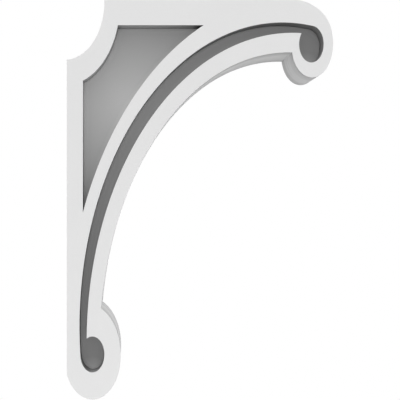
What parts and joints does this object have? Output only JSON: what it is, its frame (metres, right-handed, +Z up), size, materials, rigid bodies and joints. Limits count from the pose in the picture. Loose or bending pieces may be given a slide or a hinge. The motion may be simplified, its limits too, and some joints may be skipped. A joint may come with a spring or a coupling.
{
  "type": "corbel",
  "caption": "Arched corbel of white PVC with a flat back and top, a notched corner, a curved underside between round scrolls, a sunk panel and a tapering groove with round eyes.",
  "frame": {"origin": "on the flat back that meets the wall, mid-thickness, 495 mm below the top, about the middle of that face", "axes": "+X out from the wall, +Z up, +Y through the thickness from the face seen in the picture to the other face"},
  "size_m": [0.6096, 0.0762, 0.9144],
  "materials": {
    "white_pvc": "smooth milled white cellular PVC, satin, unpainted"
  },
  "bodies": {
    "root": {"corbel": "white_pvc"}
  },
  "joints": []
}
